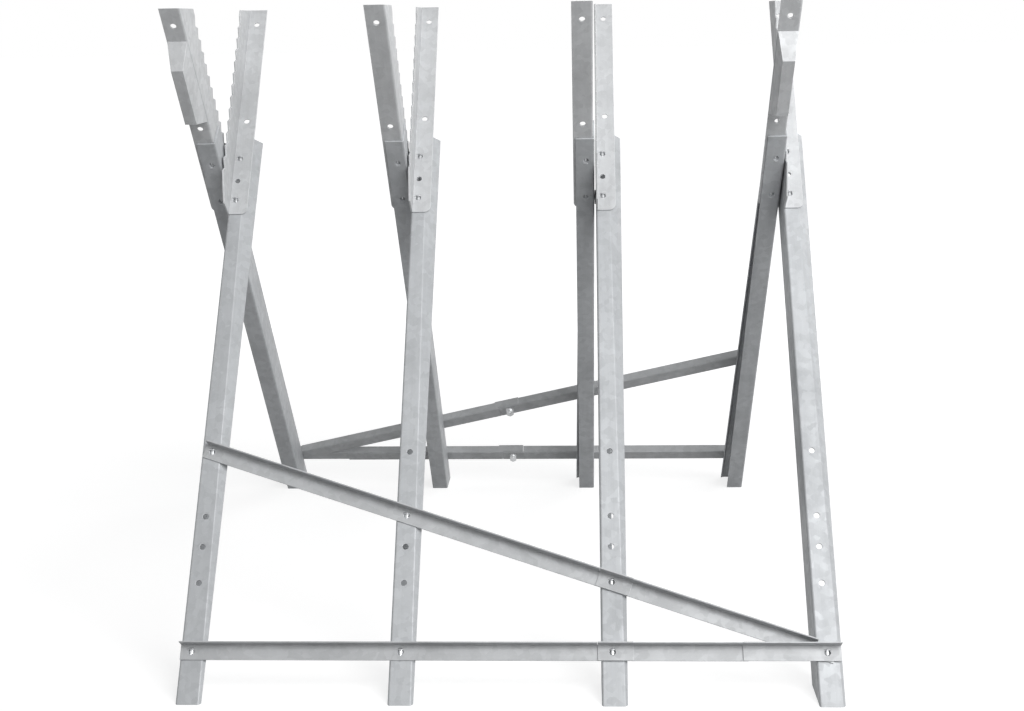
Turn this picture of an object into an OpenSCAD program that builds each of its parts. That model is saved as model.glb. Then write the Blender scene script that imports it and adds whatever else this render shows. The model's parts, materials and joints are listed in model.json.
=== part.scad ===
// Log saw stand: four crossed pairs of pressed steel legs with toothed arms,
// tied by angle rails and diagonals, that fold about one line of pivot bolts.
// Near half and far half are channel legs with their arms, the far one turned about Z.
// The near legs carry their arms on the front, the far legs hold theirs inside the back.

/* [Stand] */
// Height of the arm tips above the floor
stand_height = 735; // [600:5:900]
// Distance between the near and far feet, at their outer faces
foot_spread = 835; // [700:5:950]
// Distance between the near and far arm tips, at their lower faces
top_spread = 350; // [280:5:420]
// Distance from one crossed pair of legs to the next
frame_pitch = 230; // [180:5:280]

/* [Legs] */
// Sheet thickness of legs and arms
sheet_t = 2; // [1.5:0.1:3]
// Inner radius of every bend
bend_r = 0.5; // [0.4:0.1:0.8]
// Depth of the leg's side
leg_depth = 46; // [44:1:52]
// Width of the far leg's flat back
far_back = 23; // [21:0.5:26]
// Width of the near leg's flat back
near_back = 14; // [12:0.5:18]
// Width of the leg's flat front at the foot
leg_front_foot = 24; // [22:0.5:30]
// Width of the leg's flat front at its top end
leg_front_top = 14.5; // [14.5:0.5:18]
// Width of the turned-back edge at the foot
leg_edge_foot = 3; // [2:0.5:8]
// Width of the turned-back edge at the top end
leg_edge_top = 22; // [15:0.5:30]
// Angle of the turned-back edge
leg_edge_angle = 45; // [30:1:60]
// Distance of the leg's top end from the arm tip, along the leg
leg_top_drop = 200; // [200:1:220]
// Plain holes in the leg, measured up from the foot
spare_hole_rise = 178; // [165:1:190]
// Distance of the pivot from the near leg's front
near_pivot_in = 32; // [30:1:33]
// Distance of the pivot from the far leg's back
far_pivot_in = 20; // [16:1:22]

/* [Arms] */
// Width of the arm's outer flange
arm_w = 24; // [23:0.5:32]
// Depth of the arm's toothed flange
arm_depth = 50; // [35:1:60]
// Length of the arm along the leg
arm_len = 316; // [310:1:330]
// Pitch of the teeth
tooth_pitch = 18; // [12:0.5:24]
// Depth of the teeth
tooth_depth = 8; // [4:0.5:10]
// Plain length of the toothed flange at the tip
tooth_free_tip = 44; // [40:1:60]
// Plain length of the toothed flange at the lower end
tooth_free_end = 34; // [20:1:60]
// Corner radius of the arm's lower end
arm_end_r = 8; // [3:0.5:10]
// Height of the upper arm bolt above the arm's lower end
arm_bolt_rise_upper = 81; // [76:1:90]
// Height of the lower arm bolt above the arm's lower end
arm_bolt_rise_lower = 20; // [16:1:24]
// Height of the plain hole between the arm bolts above the arm's lower end
low_hole_rise = 48; // [42:1:56]
// Distance of the tip hole from the arm tip
tip_hole_drop = 25; // [15:1:30]
// Distance of the middle hole from the arm tip
mid_hole_drop = 178; // [174:1:186]

/* [Rails] */
// Sheet thickness of rails and diagonals
brace_t = 1.5; // [1:0.1:2]
// Height of the rail's bolted flange
brace_h = 18; // [16:0.5:24]
// Depth of the rail's lip
brace_lip = 13; // [8:0.5:18]
// Height of the rail bolts up the leg
rail_rise = 58; // [45:1:70]
// Height of the diagonal's upper bolt up the leg
diagonal_rise = 292; // [250:1:310]
// Length of the lapped joint between two half rails
lap_len = 32; // [26:1:40]

/* [Bolts] */
// Radius of the frame bolts
bolt_r = 3; // [2.5:0.1:3]
// Radius of a frame bolt's domed head
head_r = 5.8; // [5:0.1:6]
// Height of a frame bolt's domed head
head_h = 3.6; // [2.5:0.1:5]
// Height of the flatter heads on the near arms
flat_head_h = 1.2; // [1:0.1:2]
// Width of a frame nut across its flats
nut_af = 10; // [8:0.5:10]
// Height of a frame nut
nut_h = 5; // [4:0.5:6]
// Radius of the pivot bolts
pivot_r = 4; // [3:0.1:5]
// Width of the pivot bolt's head and nut across their flats
pivot_af = 13; // [12:0.5:16]
// Height of the pivot bolt's head and nut
pivot_nut_h = 6; // [4:0.5:8]
// Outer radius of the pivot washer
washer_r = 9; // [8:0.5:12]
// Thickness of the pivot washer
washer_t = 1.6; // [1:0.1:2]

/* [End brackets] */
// Distance of the bracket's upper end from the arm tip
bracket_drop = 46; // [40:1:60]
// Length of the bracket along the arm
bracket_len = 120; // [90:1:125]
// How far the bracket stands out from the arm
bracket_depth = 28; // [15:1:35]
// Width of the bracket at the arm
bracket_base_w = 23; // [20:0.5:25]
// Width of the bracket's front
bracket_front_w = 14; // [10:0.5:18]
// Sheet thickness of the bracket
bracket_t = 1.5; // [1:0.1:2]
// Slope length of the bracket's closed ends
bracket_slope = 20; // [10:1:25]

/* [Hidden] */
$fn = 48;
frame_count = 4;
first_frame = 1;
half_share = 0.5;

// Clearances
hole_gap = 0.4;
thread_gap = 0.05;
run_gap = 0.05;
side_gap = 0.2;
overrun = 5;

// The leg's slanted line, from the foot to the arm tip. The near arms lie
// inside the far legs' backs, so their line is set in by the leg's depth
nest_y = leg_depth - sheet_t;
reach = (foot_spread + top_spread) * half_share;
lean = acos(nest_y * half_share / norm([reach, stand_height])) - atan(stand_height / reach);
line_len = stand_height / cos(lean);
leg_len = line_len - leg_top_drop;
nest_z = nest_y * tan(lean);
mid_gap = washer_t + 2 * side_gap;
flange_x = mid_gap * half_share;

// The pivot lies where the pivot lines of the near and the far leg cross
far_pivot_y = leg_depth - far_pivot_in;
pivot_sum = (foot_spread - (near_pivot_in + far_pivot_y) * cos(lean)) / sin(lean);
pivot_difference = (near_pivot_in - far_pivot_y) * tan(lean);
near_pivot_rise = (pivot_sum + pivot_difference) * half_share;
far_pivot_rise = (pivot_sum - pivot_difference) * half_share;
pivot_y = near_pivot_in * cos(lean) + near_pivot_rise * sin(lean) - foot_spread * half_share;
pivot_z = near_pivot_rise * cos(lean) - near_pivot_in * sin(lean);

// How far the folded edge's sheet runs back into the leg's front
fold_root = sheet_t;
// Share of the leg's side that belongs to its front bend, and to its back bend
side_share = 0.55;
// How much of the far leg's side is cut away beside its arm
side_cut = 12;
// Room below the arm where the far leg's front ends, and around the pivot's nut
front_gap = 6;
nut_room = 1.5;

// Bolt places across the leg
brace_bolt_x = leg_front_foot * half_share;
head_wall_gap = 0.1;
arm_bolt_x = sheet_t + bend_r + head_wall_gap + head_r;
arm_hole_x = arm_w * half_share;
hole_r = bolt_r + hole_gap;
pivot_hole_r = pivot_r + run_gap;

// The rail and the diagonal, in the plane of the leg fronts
rail_end = leg_front_foot + leg_edge_foot;
rail_run = (frame_count - 1) * frame_pitch;
diagonal_fall = diagonal_rise - rail_rise;
diagonal_angle = atan(diagonal_fall / rail_run);
diagonal_len = rail_run / cos(diagonal_angle);
// The near legs' folded edges reach farther than the far rail, so the stand is set over by half of that
edge_reach = leg_front_top + (bend_r + sheet_t) * sin(leg_edge_angle) + leg_edge_top * cos(leg_edge_angle);
set_over = (edge_reach - rail_end) * half_share;
brace_margin = brace_h * half_share;
brace_gap = 0.4;
joggle_root = 6;
under_len = (brace_h + brace_margin) / sin(diagonal_angle);
lip_trim = brace_lip;
shank_spare = 2;

// Places along a leg of the plain and the bolted holes
function diagonal_rise_at(k) = diagonal_rise - diagonal_fall * k / (frame_count - 1);
leg_rises = concat([spare_hole_rise], [for (k = [0 : frame_count - 1]) diagonal_rise_at(k)]);
arm_low = line_len - arm_len;
arm_bolt_rises = [arm_low + arm_bolt_rise_upper, arm_low + arm_bolt_rise_lower];
frames = [first_frame : frame_count];
function frame_x(i) = (i - (frame_count + 1) * half_share) * frame_pitch;

// Local leg frame: X across the leg, Y into it, Z up its slanted line
module near_plane() {
    translate([-set_over, -foot_spread * half_share, 0]) rotate([-lean, 0, 0]) children();
}
module near_at(i) {
    near_plane() translate([frame_x(i) + flange_x, 0, 0]) children();
}
// The far half is the near half turned about the stand's upright axis
module far_half() {
    translate([-2 * set_over, 0, 0]) rotate([0, 0, 180]) children();
}
function opposite(i) = frame_count + 1 - i;
// Place of a near arm inside the far leg's back
module nested() {
    translate([sheet_t, nest_y, nest_z]) children();
}

// Flat sheets: a polygon across and up the leg, or into and up the leg
module sheet_across(thick) {
    translate([0, thick, 0]) rotate([90, 0, 0]) linear_extrude(thick) children();
}
module sheet_into(thick) {
    rotate([90, 0, 90]) linear_extrude(thick) children();
}
// Section of a bent angle, its outer corner at the origin and its sides along X and Y
module angle_section(across, into, thick) {
    outer_r = bend_r + thick;
    difference() {
        square([across, into]);
        translate([thick, thick]) difference() {
            square([across, into]);
            difference() {
                square(bend_r);
                translate([bend_r, bend_r]) circle(bend_r);
            }
        }
        difference() {
            square(outer_r);
            translate([outer_r, outer_r]) circle(outer_r);
        }
    }
}
// Region on the inner side of a bend of radius r, whose centre is the origin:
// one side runs back along X, the other goes on at the bend's angle
module bend_region(r, angle, back, on, reach) {
    tip = r / cos(angle * half_share);
    tip_at = [tip * sin(angle * half_share), -tip * cos(angle * half_share)];
    turn_end = [r * sin(angle), -r * cos(angle)];
    on_end = turn_end + on * [cos(angle), sin(angle)];
    difference() {
        polygon([[-back, -r], tip_at, on_end, on_end + reach * [-sin(angle), cos(angle)], [-back, reach]]);
        difference() {
            polygon([[0, 0], [0, -r], tip_at, turn_end]);
            circle(r);
        }
    }
}
// Section of a sheet with a bend that starts at the origin
module bend_section(thick, angle, back, on) {
    translate([0, bend_r + thick]) difference() {
        bend_region(bend_r + thick, angle, back, on, on);
        bend_region(bend_r, angle, back + overrun, on + overrun, on + overrun);
    }
}
module hole_across(x, z, r) {
    translate([x, -arm_depth, z]) rotate([-90, 0, 0]) cylinder(h = arm_depth + leg_depth, r = r);
}
// A hole through one sheet only, whose outer or inner face is at y
module hole_at(x, y, z, r) {
    translate([x, y - overrun, z]) rotate([-90, 0, 0]) cylinder(h = sheet_t + 2 * overrun, r = r);
}
module hole_side(y, z, r) {
    translate([-overrun, y, z]) rotate([0, 90, 0]) cylinder(h = sheet_t + 2 * overrun, r = r);
}
// Everything below the floor, or above the arm tips
module floor_cut() {
    span = foot_spread + rail_run;
    translate([-span, -span, -span]) cube([2 * span, 2 * span, span]);
}
module tip_cut() {
    span = foot_spread + rail_run;
    translate([-span, -span, stand_height]) cube([2 * span, 2 * span, span]);
}

// One pressed leg, a channel: side, flat back, and a flat front with a turned-back
// edge whose fold runs across the front from foot to top
module channel_leg(long, back, edge_foot, edge_top) {
    fold_lean = atan((leg_front_foot - leg_front_top) / long);
    fold_len = long / cos(fold_lean);
    front_over = leg_front_top - overrun * tan(fold_lean);
    outer_r = bend_r + sheet_t;
    edge_far = max(edge_foot, edge_top) + overrun;
    difference() {
        union() {
            intersection() {
                translate([0, 0, -overrun]) linear_extrude(long + 3 * overrun)
                    angle_section(leg_front_foot + overrun, leg_depth * side_share, sheet_t);
                translate([0, -overrun, 0]) sheet_across(leg_depth + 2 * overrun) polygon([
                    [-overrun, 0], [leg_front_foot, 0], [front_over, long + overrun], [-overrun, long + overrun]
                ]);
            }
            translate([0, leg_depth, 0]) linear_extrude(long + overrun)
                mirror([0, 1]) angle_section(back, leg_depth * side_share, sheet_t);
            translate([leg_front_foot, 0, 0]) rotate([0, -fold_lean, 0]) difference() {
                linear_extrude(fold_len + overrun) bend_section(sheet_t, leg_edge_angle, fold_root, edge_far);
                translate([outer_r * sin(leg_edge_angle), outer_r * (1 - cos(leg_edge_angle)), 0])
                    rotate([0, 0, leg_edge_angle]) translate([0, -overrun, 0])
                        sheet_across(sheet_t + 2 * overrun) polygon([
                            [edge_foot, -overrun], [edge_foot, 0], [edge_top, fold_len],
                            [edge_top, fold_len + 2 * overrun], [edge_far + overrun, fold_len + 2 * overrun],
                            [edge_far + overrun, -overrun]
                        ]);
            }
        }
        translate([-leg_depth, -leg_depth, long]) cube([3 * leg_depth, 3 * leg_depth, leg_depth]);
        for (rise = leg_rises) hole_at(brace_bolt_x, 0, rise, hole_r);
    }
}
module near_leg(i) {
    color("silver") difference() {
        near_at(i) difference() {
            channel_leg(leg_len, near_back, leg_edge_foot, leg_edge_top);
            for (rise = arm_bolt_rises) hole_at(arm_bolt_x, 0, rise, hole_r);
            hole_at(arm_bolt_x, 0, arm_low + low_hole_rise, hole_r);
            hole_side(near_pivot_in, near_pivot_rise, pivot_hole_r);
        }
        floor_cut();
    }
}
// The far leg holds its arm inside its back, and its front ends below the arm
module far_leg(i) {
    front_top = arm_low + nest_z - front_gap;
    cut_high = leg_len + nest_z - front_top + overrun;
    color("silver") far_half() difference() {
        near_at(opposite(i)) difference() {
            channel_leg(leg_len + nest_z, far_back, leg_edge_foot, leg_edge_foot);
            translate([-overrun, -overrun, front_top]) cube([2 * leg_depth, overrun + side_cut, cut_high]);
            translate([2 * sheet_t, -overrun, front_top])
                cube([2 * leg_depth, overrun + leg_depth * half_share, cut_high]);
            nested() for (rise = arm_bolt_rises) hole_at(arm_bolt_x, 0, rise, hole_r);
            hole_side(far_pivot_y, far_pivot_rise, pivot_hole_r);
        }
        floor_cut();
    }
}

// One toothed arm: a bent angle trimmed to its outlines from the front and the side
module arm() {
    tooth_low = arm_low + tooth_free_end;
    tooth_count = floor((arm_len - tooth_free_end - tooth_free_tip) / tooth_pitch);
    tooth_top = tooth_low + tooth_count * tooth_pitch;
    difference() {
        intersection() {
            translate([0, 0, arm_low - overrun]) linear_extrude(arm_len + 2 * overrun)
                mirror([0, 1]) angle_section(arm_w + overrun, arm_depth + overrun, sheet_t);
            translate([0, -arm_depth - 2 * overrun, 0]) sheet_across(arm_depth + 3 * overrun) difference() {
                translate([-overrun, arm_low]) square([arm_w + overrun, arm_len]);
                translate([arm_w - arm_end_r, arm_low]) difference() {
                    square(arm_end_r);
                    translate([0, arm_end_r]) circle(arm_end_r);
                }
            }
            translate([-overrun, 0, 0]) sheet_into(arm_w + 2 * overrun) polygon(concat(
                [[overrun, arm_low - overrun], [overrun, line_len + overrun],
                 [-arm_depth, line_len + overrun], [-arm_depth, tooth_top]],
                [for (k = [tooth_count - 1 : -1 : 0]) each [
                    [tooth_depth - arm_depth, tooth_low + (k + half_share) * tooth_pitch],
                    [-arm_depth, tooth_low + k * tooth_pitch]
                ]],
                [[-arm_depth * half_share, arm_low - overrun]]
            ));
        }
        hole_across(arm_hole_x, line_len - tip_hole_drop, hole_r);
        hole_across(arm_hole_x, line_len - mid_hole_drop, hole_r);
        hole_across(arm_bolt_x, arm_low + low_hole_rise, hole_r);
        for (rise = arm_bolt_rises) hole_across(arm_bolt_x, rise, hole_r);
    }
}
module far_arm(i) {
    color("gainsboro") difference() {
        near_at(i) arm();
        tip_cut();
    }
}
// The near arm lies inside the far leg's side, cut out around the pivot's nut
module near_arm(i) {
    color("gainsboro") far_half() difference() {
        near_at(opposite(i)) difference() {
            nested() arm();
            hole_side(far_pivot_y, far_pivot_rise, pivot_af * half_share / cos(30) + nut_room);
        }
        tip_cut();
    }
}

// A straight stretch of angle, flange against the legs and lip standing out.
// It runs along X from start to end, with its bolt line on Z = 0.
module angle_run(start, end, lip_start, lip_end, lift) {
    difference() {
        translate([start, -lift, brace_margin]) rotate([90, 0, 90]) linear_extrude(end - start)
            rotate(180) angle_section(brace_lip, brace_h, brace_t);
        lip_cut(start - overrun, lip_start, lift);
        lip_cut(lip_end, end + overrun, lift);
    }
}
module lip_cut(start, end, lift) {
    translate([start, -brace_lip - overrun - lift, -brace_h])
        cube([end - start, brace_lip + overrun - brace_t, 2 * brace_h]);
}
module brace_holes(places) {
    for (x = places) hole_across(x, 0, hole_r);
}

// Places along the rail, from the first leg's side
bolt_x0 = flange_x + brace_bolt_x + frame_x(first_frame);
rail_start = -brace_bolt_x;
rail_stop = rail_run - brace_bolt_x + rail_end;
rail_mid = rail_run * half_share;
lap_half = lap_len * half_share;

// The near laps lie on the third leg and share its bolts, the far laps lie between two legs
near_lap_frame = 2;
near_rail_lap = near_lap_frame * frame_pitch;
module rail_left(lap) {
    difference() {
        angle_run(rail_start, lap + lap_half, rail_start, lap - lap_half - brace_gap, 0);
        brace_holes([0, frame_pitch, lap]);
    }
}
// Both ends step out by one sheet, over the left half and over the diagonal's end
module rail_right(lap) {
    main_start = lap + lap_half + brace_gap;
    main_stop = rail_run - under_len;
    difference() {
        union() {
            angle_run(main_start, main_stop, main_start, main_stop, 0);
            angle_run(lap - lap_half, main_start + joggle_root,
                lap - lap_half, main_start + joggle_root, brace_t);
            angle_run(main_stop - joggle_root, rail_stop, main_stop - joggle_root, rail_stop, brace_t);
        }
        brace_holes([lap, 2 * frame_pitch, rail_run]);
    }
}

// Places along the diagonal, from its upper bolt
diagonal_step = diagonal_len / (frame_count - 1);
diagonal_mid = diagonal_len * half_share;
near_diagonal_lap = near_lap_frame * diagonal_step;
module diagonal_upper(lap) {
    difference() {
        angle_run(-brace_margin, lap + lap_half, -brace_margin, lap - lap_half - brace_gap, 0);
        brace_holes([0, diagonal_step, lap]);
    }
}
module diagonal_lower(lap) {
    main_start = lap + lap_half + brace_gap;
    difference() {
        union() {
            angle_run(main_start, diagonal_len + brace_margin, main_start, diagonal_len - lip_trim, 0);
            angle_run(lap - lap_half, main_start + joggle_root,
                lap - lap_half, main_start + joggle_root, brace_t);
        }
        brace_holes([lap, 2 * diagonal_step, diagonal_len]);
    }
}
module on_rail() {
    near_plane() translate([bolt_x0, 0, rail_rise]) children();
}
module on_diagonal() {
    near_plane() translate([bolt_x0, 0, diagonal_rise]) rotate([0, diagonal_angle, 0]) children();
}
module brace_colour() {
    color("lightgray") children();
}

// Frame bolt: domed head outside, shank through the stack, along Y
module bolt(stack, lift, tall) {
    shank = stack + lift + nut_h + shank_spare;
    dome_r = (head_r * head_r + tall * tall) / (2 * tall);
    translate([0, -lift, 0]) rotate([-90, 0, 0]) {
        cylinder(h = shank, r = bolt_r);
        intersection() {
            translate([0, 0, dome_r - tall]) sphere(dome_r);
            translate([0, 0, -tall]) cylinder(h = tall, r = head_r);
        }
    }
}
module nut(stack) {
    translate([0, stack, 0]) rotate([-90, 0, 0]) difference() {
        rotate([0, 0, 30]) cylinder(h = nut_h, r = nut_af * half_share / cos(30), $fn = 6);
        translate([0, 0, -overrun]) cylinder(h = nut_h + 2 * overrun, r = bolt_r + thread_gap);
    }
}

// Bolts through the legs: the third one also holds the near laps
module near_brace_bolts() {
    color("whitesmoke") {
        on_rail() for (k = [0 : frame_count - 1]) translate([k * frame_pitch, 0, 0])
            bolt(sheet_t, k < near_lap_frame ? brace_t : 2 * brace_t, head_h);
        on_diagonal() for (k = [0 : frame_count - 2]) translate([k * diagonal_step, 0, 0])
            bolt(sheet_t, k < near_lap_frame ? brace_t : 2 * brace_t, head_h);
    }
}
module far_brace_bolts() {
    color("whitesmoke") far_half() {
        on_rail() {
            for (k = [0 : frame_count - 2]) translate([k * frame_pitch, 0, 0]) bolt(sheet_t, brace_t, head_h);
            translate([rail_run, 0, 0]) bolt(sheet_t, 2 * brace_t, head_h);
            translate([rail_mid, 0, 0]) bolt(0, 2 * brace_t, head_h);
        }
        on_diagonal() {
            for (k = [0 : frame_count - 2])
                translate([k * diagonal_step, 0, 0]) bolt(sheet_t, brace_t, head_h);
            translate([diagonal_mid, 0, 0]) bolt(0, 2 * brace_t, head_h);
        }
    }
}
module near_brace_nuts() {
    color("silver") {
        on_rail() for (k = [0 : frame_count - 1]) translate([k * frame_pitch, 0, 0]) nut(sheet_t);
        near_plane() for (k = [0 : frame_count - 2])
            translate([bolt_x0 + k * frame_pitch, 0, diagonal_rise_at(k)]) nut(sheet_t);
    }
}
module far_brace_nuts() {
    far_half() near_brace_nuts();
    color("silver") far_half() {
        on_rail() translate([rail_mid, 0, 0]) nut(0);
        on_diagonal() translate([diagonal_mid, 0, 0]) nut(0);
    }
}
module far_arm_bolts() {
    color("whitesmoke") for (i = frames) near_at(i) for (rise = arm_bolt_rises)
        translate([arm_bolt_x, 0, rise]) bolt(sheet_t, sheet_t, head_h);
}
module far_arm_nuts() {
    color("silver") for (i = frames) near_at(i) for (rise = arm_bolt_rises)
        translate([arm_bolt_x, 0, rise]) nut(sheet_t);
}
// The near arms are bolted from the far leg's back, nuts inside
module near_arm_bolts() {
    color("whitesmoke") far_half() for (i = frames) near_at(i) nested() for (rise = arm_bolt_rises)
        translate([arm_bolt_x, 0, rise]) mirror([0, 1, 0]) bolt(sheet_t, sheet_t, flat_head_h);
}
module near_arm_nuts() {
    color("silver") far_half() for (i = frames) near_at(i) nested() for (rise = arm_bolt_rises)
        translate([arm_bolt_x, 0, rise]) mirror([0, 1, 0]) nut(sheet_t);
}

// Pivot bolts lie along X, head in the near leg and nut in the far leg
module on_pivot(i) {
    translate([frame_x(i) - set_over, pivot_y, pivot_z]) rotate([0, 90, 0]) children();
}
pivot_grip = flange_x + sheet_t;
module hex(h) {
    cylinder(h = h, r = pivot_af * half_share / cos(30), $fn = 6);
}
module pivot_bolts() {
    color("whitesmoke") for (i = frames) on_pivot(i) {
        translate([0, 0, pivot_grip]) hex(pivot_nut_h);
        translate([0, 0, -pivot_grip - pivot_nut_h - shank_spare])
            cylinder(h = 2 * pivot_grip + pivot_nut_h + shank_spare, r = pivot_r);
    }
}
module pivot_nuts() {
    color("silver") for (i = frames) on_pivot(i)
        translate([0, 0, -pivot_grip - side_gap - pivot_nut_h]) difference() {
            hex(pivot_nut_h);
            translate([0, 0, -overrun]) cylinder(h = pivot_nut_h + 2 * overrun, r = pivot_r + thread_gap);
        }
}
module pivot_washers() {
    color("silver") for (i = frames) on_pivot(i) translate([0, 0, flange_x - washer_t]) difference() {
        cylinder(h = washer_t, r = washer_r);
        translate([0, 0, -overrun]) cylinder(h = washer_t + 2 * overrun, r = pivot_hole_r);
    }
}

// Hollow bracket on an end arm: a folded hood with sloped ends, open to the arm
module hood(base_w, front_w, depth, length, slope) {
    intersection() {
        linear_extrude(length) polygon([
            [-base_w * half_share, 0], [base_w * half_share, 0],
            [front_w * half_share, depth], [-front_w * half_share, depth]
        ]);
        translate([-base_w * half_share, 0, 0]) sheet_into(base_w) polygon([
            [0, 0], [depth, slope], [depth, length - slope], [0, length]
        ]);
    }
}
module bracket() {
    wall = 2 * bracket_t;
    translate([arm_hole_x, 0, line_len - bracket_drop - bracket_len]) difference() {
        hood(bracket_base_w, bracket_front_w, bracket_depth, bracket_len, bracket_slope);
        translate([0, 0, bracket_t]) hood(bracket_base_w - wall, bracket_front_w - wall,
            bracket_depth - bracket_t, bracket_len - wall, bracket_slope);
    }
}
module end_bracket(i) {
    color("silver") far_half() near_at(opposite(i)) nested() bracket();
}

near_leg(1);  // near_leg_1
near_leg(2);  // near_leg_2
near_leg(3);  // near_leg_3
near_leg(4);  // near_leg_4
far_leg(1);  // far_leg_1
far_leg(2);  // far_leg_2
far_leg(3);  // far_leg_3
far_leg(4);  // far_leg_4
far_arm(1);  // far_arm_1
far_arm(2);  // far_arm_2
far_arm(3);  // far_arm_3
far_arm(4);  // far_arm_4
near_arm(1);  // near_arm_1
near_arm(2);  // near_arm_2
near_arm(3);  // near_arm_3
near_arm(4);  // near_arm_4
brace_colour() on_rail() rail_left(near_rail_lap);  // near_rail_left
brace_colour() on_rail() rail_right(near_rail_lap);  // near_rail_right
brace_colour() on_diagonal() diagonal_upper(near_diagonal_lap);  // near_diagonal_upper
brace_colour() on_diagonal() diagonal_lower(near_diagonal_lap);  // near_diagonal_lower
brace_colour() far_half() on_rail() rail_right(rail_mid);  // far_rail_left
brace_colour() far_half() on_rail() rail_left(rail_mid);  // far_rail_right
brace_colour() far_half() on_diagonal() diagonal_upper(diagonal_mid);  // far_diagonal_upper
brace_colour() far_half() on_diagonal() diagonal_lower(diagonal_mid);  // far_diagonal_lower
end_bracket(1);  // end_bracket_left
end_bracket(4);  // end_bracket_right
pivot_bolts();
pivot_nuts();
pivot_washers();
far_arm_bolts();
far_arm_nuts();
near_arm_bolts();
near_arm_nuts();
near_brace_bolts();
near_brace_nuts();
far_brace_bolts();
far_brace_nuts();
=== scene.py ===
"""Folding log saw stand: rounds the pressed sheets, cuts the bolts and nuts, and gives all a zinc finish."""

import json
import math
from itertools import combinations

import bmesh
import bpy
from bpy.props import FloatProperty, FloatVectorProperty, IntProperty, PointerProperty
from mathutils import Matrix, Vector
from mathutils.kdtree import KDTree

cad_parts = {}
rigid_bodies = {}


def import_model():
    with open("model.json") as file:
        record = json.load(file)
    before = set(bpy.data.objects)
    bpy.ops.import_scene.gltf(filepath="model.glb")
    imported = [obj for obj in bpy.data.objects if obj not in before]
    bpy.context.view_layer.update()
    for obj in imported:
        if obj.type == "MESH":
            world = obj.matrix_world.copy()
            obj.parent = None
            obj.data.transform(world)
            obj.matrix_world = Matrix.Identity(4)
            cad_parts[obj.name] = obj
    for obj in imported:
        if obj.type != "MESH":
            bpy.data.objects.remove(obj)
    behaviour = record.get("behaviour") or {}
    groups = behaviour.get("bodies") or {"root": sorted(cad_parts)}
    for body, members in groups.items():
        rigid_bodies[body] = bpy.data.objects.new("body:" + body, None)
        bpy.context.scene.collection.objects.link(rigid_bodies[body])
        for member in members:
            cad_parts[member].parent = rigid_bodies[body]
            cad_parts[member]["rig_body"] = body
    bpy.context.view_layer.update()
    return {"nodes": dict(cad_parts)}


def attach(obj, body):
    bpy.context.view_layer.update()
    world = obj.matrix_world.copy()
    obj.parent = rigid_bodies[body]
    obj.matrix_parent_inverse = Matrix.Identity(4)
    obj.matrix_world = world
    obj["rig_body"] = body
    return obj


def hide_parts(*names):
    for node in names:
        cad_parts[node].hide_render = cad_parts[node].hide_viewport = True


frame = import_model()

bl_info = {
    "name": "Log Saw Stand",
    "version": (1, 0, 0),
    "blender": (4, 5, 0),
    "location": "View3D > Sidebar > Saw Stand",
    "description": "Finishes the packed frame of a folding log saw stand in galvanised steel",
    "category": "Object",
}

PHOTO_WIDTH = 1024
SENSOR_WIDTH = 36.0
HALVES = ("near", "far")
PAIRS = range(1, 5)
FULL_TURN = 2 * math.pi
SIXTH_TURN = math.pi / 3
UP = Vector((0, 0, 1))
ALONG_X = Vector((1, 0, 0))

# Distances in metres below which points are merged
WELD = 1e-6
SLIVER = 2e-5
BEND_STEP = 0.0002

# Largest distance in metres that rounding may move a point
STRAY = 0.001

# Angles that tell flat, rounded and sharp apart
FLAT_ANGLE = math.radians(0.6)
SHARP_ANGLE = math.radians(28)
SMOOTH_ANGLE = math.radians(35)
NARROW_ANGLE = math.radians(35)
CREASE_ANGLE = math.radians(50)
NEARLY_ALONG = 0.5

# Make of the bolts and nuts
RIM_SHARE = 1 / 8
DOME_STEPS = 8
BOLT_STEPS = 28
HEX_STEPS = 48
CHAMFER_SHARE = 0.96
CHAMFER_ANGLE = math.radians(30)
SINK_SHARE = 0.1
ROWS_PER_PITCH = 4
CHAMFER_ROWS = 3

# Sockets: kinds in a group, and numbers of the colour sockets on a Mix node
VECTOR = "NodeSocketVector"
VALUE = "NodeSocketFloat"
MIX_FIRST = 6
MIX_SECOND = 7
MIX_RESULT = 2

# Pattern of the zinc
WARP_SCALE = 90.0
WARP_REACH = 0.006
CELL_SHARE = 0.45
GRAIN_SQUEEZE = 0.03
BROAD_SHARE = 0.65
CRYSTAL_SHARE = 0.6
RELIEF_SHARE = 0.35
TONE_LOW = 0.3
TONE_HIGH = 0.7

# Tone and gloss of weathered, speckled and rubbed zinc, against the plain zinc
DULL_SHADE = 0.72
DULL_ROUGHER = 0.22
SPECK_SHADE = 1.35
SPECK_SHARE = 0.25
RUBBED_SHADE = 1.5
RUBBED_SMOOTHER = 0.1
ROUGH_SPREAD = 0.07
FINISHES = {
    "leg_zinc": {"metallic": 0.15, "roughness": 0.5, "spangle": 0.1, "wear": 0.6, "dull": 0.45},
    "arm_zinc": {"metallic": 0.15, "roughness": 0.52, "spangle": 0.1, "wear": 0.7, "dull": 0.5},
    "brace_zinc": {"metallic": 0.14, "roughness": 0.5, "spangle": 0.09, "wear": 0.6, "dull": 0.45},
}

# Plating of the bolts and nuts
PLATED_CELLS = 900.0
PLATED_DULL = 0.6
PLATED_DARK = 0.88
PLATED_LIGHT = 1.08
PLATED_GREY = 0.7
PLATED_METALLIC = 0.75
PLATED_ROUGHER = 0.2

# Floor and sky
FLOOR_GREY = (0.35, 0.35, 0.35, 1.0)
LIFT_START = 0.6
LIFT_END = 1.8
WHITE = (1.0, 1.0, 1.0, 1.0)
SKY_TINT = (0.97, 0.985, 1.0, 1.0)


# Settings


class SheetSettings(bpy.types.PropertyGroup):
    """How the pressed sheets are finished at their edges."""

    edge_round: FloatProperty(
        name="Edge rounding",
        description="Radius left on a sheared and dipped sheet edge",
        default=0.00035,
        subtype="DISTANCE",
        unit="LENGTH",
    )
    edge_steps: IntProperty(
        name="Edge steps",
        description="Faces across a rounded edge",
        default=2,
    )


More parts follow.
